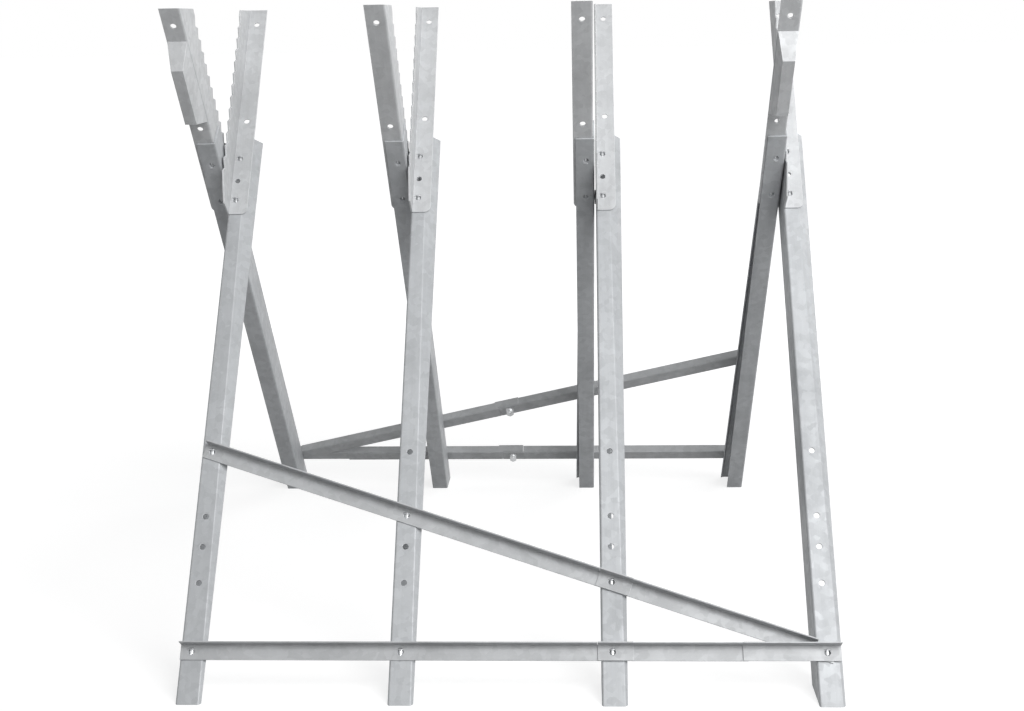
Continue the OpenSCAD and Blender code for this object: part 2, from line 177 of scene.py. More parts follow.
class BoltSettings(bpy.types.PropertyGroup):
    """Bolts, nuts and threads."""

    head_height: FloatProperty(
        name="Head height",
        description="Height of a domed head",
        default=0.0036,
        subtype="DISTANCE",
        unit="LENGTH",
    )
    flat_height: FloatProperty(
        name="Flat head height",
        description="Height of the flatter heads on the near arms",
        default=0.0012,
        subtype="DISTANCE",
        unit="LENGTH",
    )
    head_radius: FloatProperty(
        name="Head radius",
        description="Radius of a domed head",
        default=0.0058,
        subtype="DISTANCE",
        unit="LENGTH",
    )
    shank_radius: FloatProperty(
        name="Shank radius",
        description="Radius of a frame bolt",
        default=0.003,
        subtype="DISTANCE",
        unit="LENGTH",
    )
    pivot_radius: FloatProperty(
        name="Pivot radius",
        description="Radius of a pivot bolt",
        default=0.004,
        subtype="DISTANCE",
        unit="LENGTH",
    )
    pivot_head: FloatProperty(
        name="Pivot head",
        description="Height of a pivot bolt's hexagon head",
        default=0.006,
        subtype="DISTANCE",
        unit="LENGTH",
    )
    thread_pitch: FloatProperty(
        name="Thread pitch",
        description="Distance from one thread to the next",
        default=0.001,
        subtype="DISTANCE",
        unit="LENGTH",
    )
    thread_depth: FloatProperty(
        name="Thread depth",
        description="Depth of the thread",
        default=0.00045,
        subtype="DISTANCE",
        unit="LENGTH",
    )
    thread_length: FloatProperty(
        name="Thread length",
        description="Length of thread modelled at a bolt's end",
        default=0.004,
        subtype="DISTANCE",
        unit="LENGTH",
    )


class ZincSettings(bpy.types.PropertyGroup):
    """Colours and pattern of the zinc finish."""

    leg_colour: FloatVectorProperty(
        name="Leg zinc",
        description="Colour of the legs' zinc",
        default=(0.47, 0.485, 0.50),
        size=3,
        subtype="COLOR",
    )
    arm_colour: FloatVectorProperty(
        name="Arm zinc",
        description="Colour of the arms' zinc",
        default=(0.56, 0.57, 0.58),
        size=3,
        subtype="COLOR",
    )
    brace_colour: FloatVectorProperty(
        name="Brace zinc",
        description="Colour of the rails' and diagonals' zinc",
        default=(0.46, 0.47, 0.48),
        size=3,
        subtype="COLOR",
    )
    bolt_colour: FloatVectorProperty(
        name="Bolt zinc",
        description="Colour of the plated bolts and nuts",
        default=(0.62, 0.63, 0.64),
        size=3,
        subtype="COLOR",
    )
    spangle_size: FloatProperty(
        name="Spangle size",
        description="Size of one zinc crystal",
        default=0.007,
        subtype="DISTANCE",
        unit="LENGTH",
    )


class StageSettings(bpy.types.PropertyGroup):
    """Camera, floor and light."""

    camera_place: FloatVectorProperty(
        name="Camera place",
        description="Where the camera stands",
        default=(0.0962, -1.9122, 0.7117),
        size=3,
        subtype="TRANSLATION",
        unit="LENGTH",
    )
    camera_yaw: FloatProperty(
        name="Camera yaw",
        description="Turn of the camera to the right",
        default=math.radians(-2.76),
        subtype="ANGLE",
    )
    camera_pitch: FloatProperty(
        name="Camera pitch",
        description="Tilt of the camera towards the floor",
        default=math.radians(12.37),
        subtype="ANGLE",
    )
    camera_roll: FloatProperty(
        name="Camera roll",
        description="Roll of the camera about its line of sight",
        default=math.radians(-1.0),
        subtype="ANGLE",
    )
    focal_pixels: FloatProperty(
        name="Focal length",
        description="Focal length in pixels of the photograph's width",
        default=1512.4,
    )
    floor_size: FloatProperty(
        name="Floor size",
        description="Half the width of the floor",
        default=40.0,
        subtype="DISTANCE",
        unit="LENGTH",
    )
    lamp_size: FloatProperty(
        name="Lamp size",
        description="Width of the soft lamps",
        default=2.0,
        subtype="DISTANCE",
        unit="LENGTH",
    )
    lamp_aim: FloatVectorProperty(
        name="Lamp aim",
        description="Where the lamps point",
        default=(0.0, 0.0, 0.4),
        size=3,
        subtype="TRANSLATION",
        unit="LENGTH",
    )
    key_place: FloatVectorProperty(
        name="Key place",
        description="Where the main lamp hangs, in front on the right",
        default=(1.3, -1.9, 2.0),
        size=3,
        subtype="TRANSLATION",
        unit="LENGTH",
    )
    key_power: FloatProperty(
        name="Key power",
        description="Power of the main lamp",
        default=79.0,
    )
    fill_place: FloatVectorProperty(
        name="Fill place",
        description="Where the weaker lamp hangs, behind on the right",
        default=(1.9, 1.7, 1.7),
        size=3,
        subtype="TRANSLATION",
        unit="LENGTH",
    )
    fill_power: FloatProperty(
        name="Fill power",
        description="Power of the weaker lamp",
        default=26.0,
    )
    sky_strength: FloatProperty(
        name="Sky strength",
        description="Strength of the light from all sides",
        default=0.16,
    )
    floor_lift: FloatProperty(
        name="Floor lift",
        description="White added to the floor where it is seen",
        default=0.8,
    )


# Sheets


def welded_copy(node):
    """A copy of a CAD node's mesh with its doubled points welded."""
    form = bmesh.new()
    form.from_mesh(frame["nodes"][node].data)
    bmesh.ops.remove_doubles(form, verts=form.verts, dist=WELD)
    return form


def join_flats(form):
    """Makes the flat faces of a mesh whole again."""
    bmesh.ops.dissolve_limit(form, angle_limit=FLAT_ANGLE, verts=form.verts, edges=form.edges)


def widest_normal(form):
    """The normal of a mesh's largest face."""
    return max(form.faces, key=lambda face: face.calc_area()).normal.copy()


def sheet_axes(form):
    """Turns the frame's axes to across, into and along a sheet."""
    longest = max(form.edges, key=lambda edge: edge.calc_length())
    along = (longest.verts[1].co - longest.verts[0].co).normalized()
    normal = widest_normal(form)
    into = normal - along * normal.dot(along)
    into.normalize()
    return Matrix((into.cross(along), into, along))


def thin_out_bends(form):
    """Takes out the finest steps of the bends, which leave no room for a rounded edge."""
    bmesh.ops.remove_doubles(form, verts=form.verts, dist=BEND_STEP)
    join_flats(form)


def sheared_edges(form):
    """The sharp outer edges of a sheet, less the shorter one where two meet in a narrow wedge."""
    outer = [e for e in form.edges if e.is_manifold and e.is_convex]
    sharp = [e for e in outer if e.calc_face_angle() > SHARP_ANGLE]
    kept = set(sharp)
    for vert in form.verts:
        meeting = [e for e in vert.link_edges if e in kept]
        for first, second in combinations(meeting, 2):
            one = first.other_vert(vert).co - vert.co
            two = second.other_vert(vert).co - vert.co
            if one.angle(two) < NARROW_ANGLE:
                kept.discard(min(first, second, key=lambda e: e.calc_length()))
    return [e for e in sharp if e in kept]


def strays_from(form, plain):
    """The largest distance from a point of a mesh to the nearest point of another."""
    tree = KDTree(len(plain.verts))
    for number, vert in enumerate(plain.verts):
        tree.insert(vert.co, number)
    tree.balance()
    return max(tree.find(vert.co)[2] for vert in form.verts)


def rounded_copy(plain):
    """A copy of a sheet with rounded sheared edges, or a plain copy where rounding would tear it."""
    sheet = bpy.context.scene.stand_sheet
    form = plain.copy()
    thin_out_bends(form)
    wear = form.faces.layers.float.new("edge_wear")
    rounded = bmesh.ops.bevel(
        form,
        geom=sheared_edges(form),
        offset=sheet.edge_round,
        offset_type="OFFSET",
        segments=sheet.edge_steps,
        profile=0.5,
        affect="EDGES",
        clamp_overlap=False,
        material=-1,
    )
    for face in rounded["faces"]:
        face[wear] = 1.0
    bmesh.ops.remove_doubles(form, verts=form.verts, dist=SLIVER)
    torn = any(not edge.is_manifold for edge in form.edges)
    if torn or strays_from(form, plain) > STRAY:
        form.free()
        return plain.copy()
    return form


def add_piece(name, form, node, steel):
    """Makes an object of a mesh, on the body and in the place of the CAD node that it stands for."""
    mesh = bpy.data.meshes.new(name)
    form.to_mesh(mesh)
    form.free()
    mesh.materials.append(steel)
    piece = bpy.data.objects.new(name, mesh)
    bpy.context.scene.collection.objects.link(piece)
    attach(piece, frame["nodes"][node]["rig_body"])
    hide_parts(node)
    return piece


def dress_sheet(node, steel):
    """A pressed sheet: the CAD node's shape with rounded sheared edges and its grain marked."""
    plain = welded_copy(node)
    join_flats(plain)
    axes = sheet_axes(plain)
    form = rounded_copy(plain)
    plain.free()
    grain = form.verts.layers.float_vector.new("grain")
    for vert in form.verts:
        vert[grain] = axes @ vert.co
    for face in form.faces:
        face.smooth = True
    for edge in form.edges:
        edge.smooth = edge.calc_face_angle(0.0) < CREASE_ANGLE
    piece = add_piece(node + "_sheet", form, node, steel)
    normals = piece.modifiers.new("Flat faces", "WEIGHTED_NORMAL")
    normals.mode = "FACE_AREA"
    normals.keep_sharp = True
    return piece


# Bolts and nuts


def spun(profile, steps):
    """A closed turned form about Z from a profile of (radius, height) points."""
    form = bmesh.new()
    verts = [form.verts.new((radius, 0, height)) for radius, height in profile]
    edges = [form.edges.new(pair) for pair in zip(verts, verts[1:])]
    bmesh.ops.spin(
        form,
        geom=verts + edges,
        cent=(0, 0, 0),
        axis=UP,
        dvec=(0, 0, 0),
        angle=FULL_TURN,
        steps=steps,
        use_merge=True,
        use_duplicate=False,
    )
    bmesh.ops.remove_doubles(form, verts=form.verts, dist=WELD)
    bmesh.ops.recalc_face_normals(form, faces=form.faces)
    return form


def dome_points(head_r, head_h, rim):
    """Profile points over a domed head, from its top to its rim."""
    dome_h = head_h - rim
    ball_r = (head_r * head_r + dome_h * dome_h) / (2 * dome_h)
    half = math.asin(head_r / ball_r)
    points = [(0, -head_h)]
    for step in range(1, DOME_STEPS + 1):
        turn = half * step / DOME_STEPS - math.pi / 2
        points.append((ball_r * math.cos(turn), ball_r - head_h + ball_r * math.sin(turn)))
    return points


def threaded_end(radius, length, settings):
    """Profile points down a shank to its threaded and chamfered end."""
    row = settings.thread_pitch / ROWS_PER_PITCH
    start = length - settings.thread_length
    rows = int(settings.thread_length / row) - CHAMFER_ROWS
    points = [(radius, start + row * k) for k in range(rows)]
    points.append((radius - settings.thread_depth, length))
    points.append((0, length))
    return points


def cut_thread(form, radius, length, settings):
    """Moves the rows of a shank's end in and out along a helix."""
    pitch = settings.thread_pitch
    start = length - settings.thread_length + pitch / 2
    stop = length - WELD
    for vert in form.verts:
        across = Vector((vert.co.x, vert.co.y, 0))
        if vert.co.z < start or vert.co.z > stop or abs(across.length - radius) > WELD:
            continue
        turn = math.atan2(vert.co.y, vert.co.x) / FULL_TURN
        phase = (vert.co.z / pitch - turn) % 1.0
        cut = settings.thread_depth * abs(2 * phase - 1)
        across *= (radius - cut) / radius
        vert.co.x = across.x
        vert.co.y = across.y


def domed_bolt(length, head_h, settings):
    """A mushroom-headed bolt along Z, with its seat at zero and its head below."""
    head_r = settings.head_radius
    shank_r = settings.shank_radius
    rim = head_h * RIM_SHARE
    profile = dome_points(head_r, head_h, rim)
    profile += [(head_r, -rim / 2), (head_r - rim / 2, 0), (shank_r, 0)]
    profile += threaded_end(shank_r, length, settings)
    form = spun(profile, BOLT_STEPS)
    cut_thread(form, shank_r, length, settings)
    return form


def draw_hexagon(form, flats, radius, low, high):
    """Draws a turned ring out to a hexagon with chamfered corners."""
    chamfer = flats / 2 * CHAMFER_SHARE
    slope = math.tan(CHAMFER_ANGLE)
    middle = (low + high) / 2
    for vert in form.verts:
        across = Vector((vert.co.x, vert.co.y, 0))
        if abs(across.length - radius) > WELD:
            continue
        turn = math.atan2(vert.co.y, vert.co.x)
        off = (turn % SIXTH_TURN) - SIXTH_TURN / 2
        reach = flats / 2 / math.cos(off)
        across *= reach / radius
        fall = max(0.0, reach - chamfer) * slope
        height = high - fall if vert.co.z > middle else low + fall
        vert.co = Vector((across.x, across.y, height))


def hex_nut(flats, height, bore):
    """A hexagon nut along Z from zero to its height, with a countersunk bore."""
    ring = flats
    chamfer = flats / 2 * CHAMFER_SHARE
    sink = height * SINK_SHARE
    profile = [
        (bore, sink),
        (bore + sink, 0),
        (chamfer, 0),
        (ring, 0),
        (ring, height),
        (chamfer, height),
        (bore + sink, height),
        (bore, height - sink),
        (bore, sink),
    ]
    form = spun(profile, HEX_STEPS)
    draw_hexagon(form, flats, ring, 0, height)
    bmesh.ops.recalc_face_normals(form, faces=form.faces)
    return form


def hex_bolt(length, flats, settings):
    """A hexagon-headed pivot bolt along Z, with its seat at zero and its head below."""
    head_h = settings.pivot_head
    shank_r = settings.pivot_radius
    ring = flats
    chamfer = flats / 2 * CHAMFER_SHARE
    profile = [
        (0, -head_h),
        (chamfer, -head_h),
        (ring, -head_h),
        (ring, 0),
        (chamfer, 0),
        (shank_r, 0),
    ]
    profile += threaded_end(shank_r, length, settings)
    form = spun(profile, HEX_STEPS)
    draw_hexagon(form, flats, ring, -head_h, 0)
    cut_thread(form, shank_r, length, settings)
    bmesh.ops.recalc_face_normals(form, faces=form.faces)
    return form


def solids(node):
    """The points of each separate solid of a CAD node."""
    form = welded_copy(node)
    left = set(form.verts)
    found = []
    while left:
        todo = [left.pop()]
        points = []
        while todo:
            vert = todo.pop()
            points.append(vert.co.copy())
            for edge in vert.link_edges:
                other = edge.other_vert(vert)
                if other in left:
                    left.remove(other)
                    todo.append(other)
        found.append(points)
    form.free()
    return sorted(found, key=lambda points: min(p.x for p in points))


def inward_axis(half):
    """The direction in which the bolts of a half go in, square to its rail's flange."""
    rail = welded_copy(half + "_rail_left")
    join_flats(rail)
    axis = widest_normal(rail)
    rail.free()
    if axis.z > 0:
        axis.negate()
    return axis


def placed_on(points, axis):
    """Where a solid lies: a matrix whose Z runs along the axis from its low end, and its length."""
    side = axis.cross(ALONG_X)
    if side.length < NEARLY_ALONG:
        side = axis.cross(UP)
    side.normalize()
    other = axis.cross(side)
    ends = [p.dot(axis) for p in points]
    wide = [p.dot(side) for p in points]
    tall = [p.dot(other) for p in points]
    middle = side * (min(wide) + max(wide)) / 2 + other * (min(tall) + max(tall)) / 2
    corner = max((p - axis * p.dot(axis) - middle for p in points), key=lambda v: v.length)
    corner.normalize()
    turned = Matrix((corner, axis.cross(corner), axis)).transposed().to_4x4()
    turned.translation = middle + axis * min(ends)
    return turned, max(ends) - min(ends)


def hex_flats(points, place):
    """Width across flats of a hexagon solid, from its corner reach."""
    middle = place.translation
    axis = place.to_3x3().col[2]
    reach = max(((p - middle) - axis * (p - middle).dot(axis)).length for p in points)
    return 2 * reach * math.cos(SIXTH_TURN / 2)


def gather(forms):
    """One mesh of several placed forms."""
    whole = bmesh.new()
    for form, place in forms:
        bmesh.ops.transform(form, matrix=place, verts=form.verts)
        part = bpy.data.meshes.new("part")
        form.to_mesh(part)
        form.free()
        whole.from_mesh(part)
        bpy.data.meshes.remove(part)
    return whole


def finish_fasteners(name, forms, node, steel):
    """Adds a set of bolts or nuts as one piece with crisp edges."""
    whole = gather(forms)
    for face in whole.faces:
        face.smooth = True
    piece = add_piece(name, whole, node, steel)
    piece.data.set_sharp_from_angle(angle=SMOOTH_ANGLE)
    return piece


# Shader nodes


def group_of(name, inputs, outputs):
    """An empty shader node group with named sockets: the tree, its input node and its output node."""
    tree = bpy.data.node_groups.new(name, "ShaderNodeTree")
    for way, sockets in (("INPUT", inputs), ("OUTPUT", outputs)):
        for socket, kind in sockets.items():
            tree.interface.new_socket(name=socket, in_out=way, socket_type=kind)
    return tree, tree.nodes.new("NodeGroupInput"), tree.nodes.new("NodeGroupOutput")


def feed(tree, socket, value):
    """Links a socket to another one, or sets it to a value."""
    if isinstance(value, bpy.types.NodeSocket):
        tree.links.new(value, socket)
    else:
        socket.default_value = value


def math_node(tree, operation, first, second):
    """A Math node on links or numbers."""
    node = tree.nodes.new("ShaderNodeMath")
    node.operation = operation
    feed(tree, node.inputs[0], first)
    feed(tree, node.inputs[1], second)
    return node.outputs[0]


def scaled(tree, value, share):
    """A value times a share."""
    return math_node(tree, "MULTIPLY", value, share)


def blended(tree, first, second, share):
    """The first value by its share, and the second by the rest."""
    return math_node(tree, "ADD", scaled(tree, first, share), scaled(tree, second, 1 - share))


def map_range(tree, value, low, high, to_low=0.0, to_high=1.0):
    """A clamped Map Range node."""
    node = tree.nodes.new("ShaderNodeMapRange")
    node.clamp = True
    tree.links.new(value, node.inputs["Value"])
    node.inputs["From Min"].default_value = low
    node.inputs["From Max"].default_value = high
    node.inputs["To Min"].default_value = to_low
    node.inputs["To Max"].default_value = to_high
    return node.outputs["Result"]


def noise_node(tree, vector, scale, detail, roughness):
    """A Noise Texture's value on a vector."""
    node = tree.nodes.new("ShaderNodeTexNoise")
    tree.links.new(vector, node.inputs["Vector"])
    node.inputs["Scale"].default_value = scale
    node.inputs["Detail"].default_value = detail
    node.inputs["Roughness"].default_value = roughness
    return node.outputs["Fac"]


def shaded(colour, share):
    """A colour made darker or lighter by a share."""
    return (*(min(1.0, part * share) for part in colour), 1.0)


def mix_colour(tree, factor, first, second):
    """A colour Mix node between two colours or links."""
    node = tree.nodes.new("ShaderNodeMix")
    node.data_type = "RGBA"
    tree.links.new(factor, node.inputs[0])
    feed(tree, node.inputs[MIX_FIRST], first)
    feed(tree, node.inputs[MIX_SECOND], second)
    return node.outputs[MIX_RESULT]


def object_place(tree):
    """The place on the object that is shaded."""
    return tree.nodes.new("ShaderNodeTexCoord").outputs["Object"]


def mark_of(tree, name):
    """A mark that was stored in the mesh."""
    node = tree.nodes.new("ShaderNodeAttribute")
    node.attribute_name = name
    return node.outputs


def place_group(tree, name, values):
    """Places a shared node group in a material and feeds its inputs."""
    node = tree.nodes.new("ShaderNodeGroup")
    node.node_tree = bpy.data.node_groups[name]
    for socket, value in values.items():
        feed(tree, node.inputs[socket], value)
    return node.outputs


def add_bump(tree, shader, height, strength, distance):
    """Raises a shader's surface by a height."""
    bump = tree.nodes.new("ShaderNodeBump")
    bump.inputs["Strength"].default_value = strength
    bump.inputs["Distance"].default_value = distance
    tree.links.new(height, bump.inputs["Height"])
    tree.links.new(bump.outputs["Normal"], shader.inputs["Normal"])


# Shared patterns


def spangle_group():
    """Zinc crystals: each cell has its own tone, with a faint relief."""
    tree, start, end = group_of(
        "Zinc spangle",
        {"Vector": VECTOR, "Cells per metre": VALUE},
        {"Tone": VALUE, "Height": VALUE},
    )
    where = start.outputs["Vector"]
    warp = tree.nodes.new("ShaderNodeTexNoise")
    warp.inputs["Scale"].default_value = WARP_SCALE
    tree.links.new(where, warp.inputs["Vector"])
    shift = tree.nodes.new("ShaderNodeVectorMath")
    shift.operation = "MULTIPLY_ADD"
    shift.inputs[1].default_value = (WARP_REACH, WARP_REACH, WARP_REACH)
    tree.links.new(warp.outputs["Color"], shift.inputs[0])
    tree.links.new(where, shift.inputs[2])
    cells = tree.nodes.new("ShaderNodeTexVoronoi")
    tree.links.new(shift.outputs[0], cells.inputs["Vector"])
    tree.links.new(start.outputs["Cells per metre"], cells.inputs["Scale"])
    split = tree.nodes.new("ShaderNodeSeparateColor")
    tree.links.new(cells.outputs["Color"], split.inputs["Color"])
    mottle = noise_node(tree, where, scale=34.0, detail=5.0, roughness=0.62)
    tone = blended(tree, split.outputs[0], mottle, CELL_SHARE)
    tree.links.new(tone, end.inputs["Tone"])
    tree.links.new(split.outputs[1], end.inputs["Height"])


def streak_group():
    """Rolling streaks that run along a sheet's grain."""
    tree, start, end = group_of("Rolling streaks", {"Grain": VECTOR}, {"Streak": VALUE})
    squeeze = tree.nodes.new("ShaderNodeMapping")
    squeeze.inputs["Scale"].default_value = (1.0, 1.0, GRAIN_SQUEEZE)
    tree.links.new(start.outputs["Grain"], squeeze.inputs["Vector"])
    along = squeeze.outputs["Vector"]
    broad = noise_node(tree, along, scale=160.0, detail=3.0, roughness=0.55)
    fine = noise_node(tree, along, scale=900.0, detail=2.0, roughness=0.5)
    tree.links.new(blended(tree, broad, fine, BROAD_SHARE), end.inputs["Streak"])


def wear_group():
    """Bright rubbed metal on the marked edges, broken up by noise."""
    tree, start, end = group_of(
        "Edge wear",
        {"Vector": VECTOR, "Edge": VALUE, "Amount": VALUE},
        {"Mask": VALUE},
    )
    patches = noise_node(tree, start.outputs["Vector"], scale=55.0, detail=4.0, roughness=0.6)
    broken = map_range(tree, patches, low=0.38, high=0.6, to_low=0.25)
    rubbed = scaled(tree, start.outputs["Edge"], broken)
    tree.links.new(scaled(tree, rubbed, start.outputs["Amount"]), end.inputs["Mask"])


def dulling_group():
    """Dull grey patches of weathered zinc, with fine pale specks."""
    tree, start, end = group_of(
        "Weathered zinc",
        {"Vector": VECTOR, "Amount": VALUE},
        {"Mask": VALUE, "Specks": VALUE},
    )
    clouds = noise_node(tree, start.outputs["Vector"], scale=11.0, detail=5.0, roughness=0.6)
    patches = map_range(tree, clouds, low=0.45, high=0.72)
    tree.links.new(scaled(tree, patches, start.outputs["Amount"]), end.inputs["Mask"])
    grit = noise_node(tree, start.outputs["Vector"], scale=520.0, detail=2.0, roughness=0.5)
    tree.links.new(map_range(tree, grit, low=0.62, high=0.74), end.inputs["Specks"])


# Materials


def new_steel(name):
    """A new material with one surface shader: the material and the shader."""
    steel = bpy.data.materials.new(name)
    steel.use_nodes = True
    tree = steel.node_tree
    tree.nodes.clear()
    shader = tree.nodes.new("ShaderNodeBsdfPrincipled")
    output = tree.nodes.new("ShaderNodeOutputMaterial")
    tree.links.new(shader.outputs["BSDF"], output.inputs["Surface"])
    return steel, shader


def zinc_material(name, colour, metallic, roughness, spangle, wear, dull):
    """Galvanised sheet: spangle, rolling streaks, weathered patches and rubbed edges."""
    steel, shader = new_steel(name)
    tree = steel.node_tree
    where = object_place(tree)
    grain = mark_of(tree, "grain")["Vector"]
    edge = mark_of(tree, "edge_wear")["Fac"]
    cells = 1.0 / bpy.context.scene.stand_zinc.spangle_size
    crystals = place_group(tree, "Zinc spangle", {"Vector": where, "Cells per metre": cells})
    streaks = place_group(tree, "Rolling streaks", {"Grain": grain})
    rubbed = place_group(tree, "Edge wear", {"Vector": where, "Edge": edge, "Amount": wear})
    dulled = place_group(tree, "Weathered zinc", {"Vector": where, "Amount": dull})
    tone = blended(tree, crystals["Tone"], streaks["Streak"], CRYSTAL_SHARE)
    spread = map_range(tree, tone, TONE_LOW, TONE_HIGH)
    zinc = mix_colour(tree, spread, shaded(colour, 1 - spangle), shaded(colour, 1 + spangle))
    grey = mix_colour(tree, dulled["Mask"], zinc, shaded(colour, DULL_SHADE))
    specks = scaled(tree, dulled["Specks"], SPECK_SHARE)
    speckled = mix_colour(tree, specks, grey, shaded(colour, SPECK_SHADE))
    bright = mix_colour(tree, rubbed["Mask"], speckled, shaded(colour, RUBBED_SHADE))
    tree.links.new(bright, shader.inputs["Base Color"])
    shader.inputs["Metallic"].default_value = metallic
    most = roughness + ROUGH_SPREAD
    least = roughness - ROUGH_SPREAD
    rough = map_range(tree, tone, TONE_LOW, TONE_HIGH, most, least)
    rough = math_node(tree, "ADD", rough, scaled(tree, dulled["Mask"], DULL_ROUGHER))
    rough = math_node(tree, "SUBTRACT", rough, scaled(tree, rubbed["Mask"], RUBBED_SMOOTHER))
    tree.links.new(rough, shader.inputs["Roughness"])
    relief = blended(tree, crystals["Height"], streaks["Streak"], RELIEF_SHARE)
    add_bump(tree, shader, relief, strength=0.18, distance=0.0003)
    return steel


def plated_material(name, colour):
    """Bright zinc plating on bolts and nuts, with tarnish and fine scuffs."""
    steel, shader = new_steel(name)
    tree = steel.node_tree
    where = object_place(tree)
    dulled = place_group(tree, "Weathered zinc", {"Vector": where, "Amount": PLATED_DULL})
    crystals = place_group(tree, "Zinc spangle", {"Vector": where, "Cells per metre": PLATED_CELLS})
    dark = shaded(colour, PLATED_DARK)
    light = shaded(colour, PLATED_LIGHT)
    zinc = mix_colour(tree, crystals["Tone"], dark, light)
    grey = mix_colour(tree, dulled["Mask"], zinc, shaded(colour, PLATED_GREY))
    tree.links.new(grey, shader.inputs["Base Color"])
    shader.inputs["Metallic"].default_value = PLATED_METALLIC
    rough = map_range(tree, crystals["Tone"], low=0.2, high=0.8, to_low=0.36, to_high=0.26)
    rough = math_node(tree, "ADD", rough, scaled(tree, dulled["Mask"], PLATED_ROUGHER))
    tree.links.new(rough, shader.inputs["Roughness"])
    add_bump(tree, shader, crystals["Height"], strength=0.12, distance=0.0001)
    return steel


def steel_named(name):
    """A finish, made the first time that a piece needs it."""
    if "Zinc spangle" not in bpy.data.node_groups:
        spangle_group()
        streak_group()
        wear_group()
        dulling_group()
    made = bpy.data.materials.get(name)
    if made:
        return made
    zinc = bpy.context.scene.stand_zinc
    if name == "plated_zinc":
        return plated_material(name, zinc.bolt_colour)
    colours = {
        "leg_zinc": zinc.leg_colour,
        "arm_zinc": zinc.arm_colour,
        "brace_zinc": zinc.brace_colour,
    }
    return zinc_material(name, colours[name], **FINISHES[name])


# Pieces, with one operator for each kind


class STAND_OT_press_legs(bpy.types.Operator):
    """Round the sheared edges of the eight pressed legs and give them their zinc"""

    bl_idname = "stand.press_legs"
    bl_label = "Press Legs"

    def execute(self, context):
        for half in HALVES:
            for number in PAIRS:
                dress_sheet(f"{half}_leg_{number}", steel_named("leg_zinc"))
        return {"FINISHED"}


class STAND_OT_tooth_arms(bpy.types.Operator):
    """Round the edges of the eight toothed arms and give them their zinc"""

    bl_idname = "stand.tooth_arms"
    bl_label = "Tooth Arms"

    def execute(self, context):
        for half in HALVES:
            for number in PAIRS:
                dress_sheet(f"{half}_arm_{number}", steel_named("arm_zinc"))
        return {"FINISHED"}


class STAND_OT_fold_braces(bpy.types.Operator):
    """Round the edges of the rails and diagonals and give them their zinc"""

    bl_idname = "stand.fold_braces"
    bl_label = "Fold Braces"

    def execute(self, context):
        for half in HALVES:
            for part in ("rail_left", "rail_right", "diagonal_upper", "diagonal_lower"):
                dress_sheet(f"{half}_{part}", steel_named("brace_zinc"))
        return {"FINISHED"}


class STAND_OT_fold_brackets(bpy.types.Operator):
    """Round the edges of the two brackets on the end arms and give them their zinc"""

    bl_idname = "stand.fold_brackets"
    bl_label = "Fold Brackets"

    def execute(self, context):
        for side in ("left", "right"):
            dress_sheet(f"end_bracket_{side}", steel_named("arm_zinc"))
        return {"FINISHED"}


class STAND_OT_turn_bolts(bpy.types.Operator):
    """Make the domed frame bolts with their threaded ends"""

    bl_idname = "stand.turn_bolts"
    bl_label = "Turn Bolts"

    def execute(self, context):
        settings = context.scene.stand_bolts
        for node, axis, head in (
            ("near_brace_bolts", inward_axis("near"), settings.head_height),
            ("far_arm_bolts", inward_axis("near"), settings.head_height),
            ("far_brace_bolts", inward_axis("far"), settings.head_height),
            ("near_arm_bolts", -inward_axis("far"), settings.flat_height),
        ):
            forms = []
            for points in solids(node):
                place, length = placed_on(points, axis)
                place.translation += axis * head
                forms.append((domed_bolt(length - head, head, settings), place))
            finish_fasteners(node + "_domed", forms, node, steel_named("plated_zinc"))
        return {"FINISHED"}


class STAND_OT_cut_nuts(bpy.types.Operator):
    """Make the hexagon nuts of the frame bolts"""

    bl_idname = "stand.cut_nuts"
    bl_label = "Cut Nuts"

    def execute(self, context):
        settings = context.scene.stand_bolts
        for node, half in (
            ("near_brace_nuts", "near"),
            ("far_arm_nuts", "near"),
            ("far_brace_nuts", "far"),
            ("near_arm_nuts", "far"),
        ):
            axis = inward_axis(half)
            forms = []
            for points in solids(node):
                place, height = placed_on(points, axis)
                flats = hex_flats(points, place)
                forms.append((hex_nut(flats, height, settings.shank_radius), place))
            finish_fasteners(node + "_hexagon", forms, node, steel_named("plated_zinc"))
        return {"FINISHED"}


class STAND_OT_fit_pivots(bpy.types.Operator):
    """Make the four pivot bolts on which the stand folds, with their nuts and washers"""

    bl_idname = "stand.fit_pivots"
    bl_label = "Fit Pivots"

    def execute(self, context):
        settings = context.scene.stand_bolts
        steel = steel_named("plated_zinc")
        bolts = []
        for points in solids("pivot_bolts"):
            place, length = placed_on(points, -ALONG_X)
            flats = hex_flats(points, place)
            place.translation -= ALONG_X * settings.pivot_head
            bolts.append((hex_bolt(length - settings.pivot_head, flats, settings), place))
        finish_fasteners("pivot_bolts_hexagon", bolts, "pivot_bolts", steel)
        nuts = []
        for points in solids("pivot_nuts"):
            place, height = placed_on(points, ALONG_X)
            flats = hex_flats(points, place)
            nuts.append((hex_nut(flats, height, settings.pivot_radius), place))
        finish_fasteners("pivot_nuts_hexagon", nuts, "pivot_nuts", steel)
        dress_sheet("pivot_washers", steel)
        return {"FINISHED"}


# Stage


def seen_directly(tree):
    """One where a ray comes from the camera, a reflection or through glass, and zero elsewhere."""
    rays = tree.nodes.new("ShaderNodeLightPath")
    first = math_node(tree, "MAXIMUM", rays.outputs["Is Camera Ray"], rays.outputs["Is Glossy Ray"])
    return math_node(tree, "MAXIMUM", first, rays.outputs["Is Transmission Ray"])


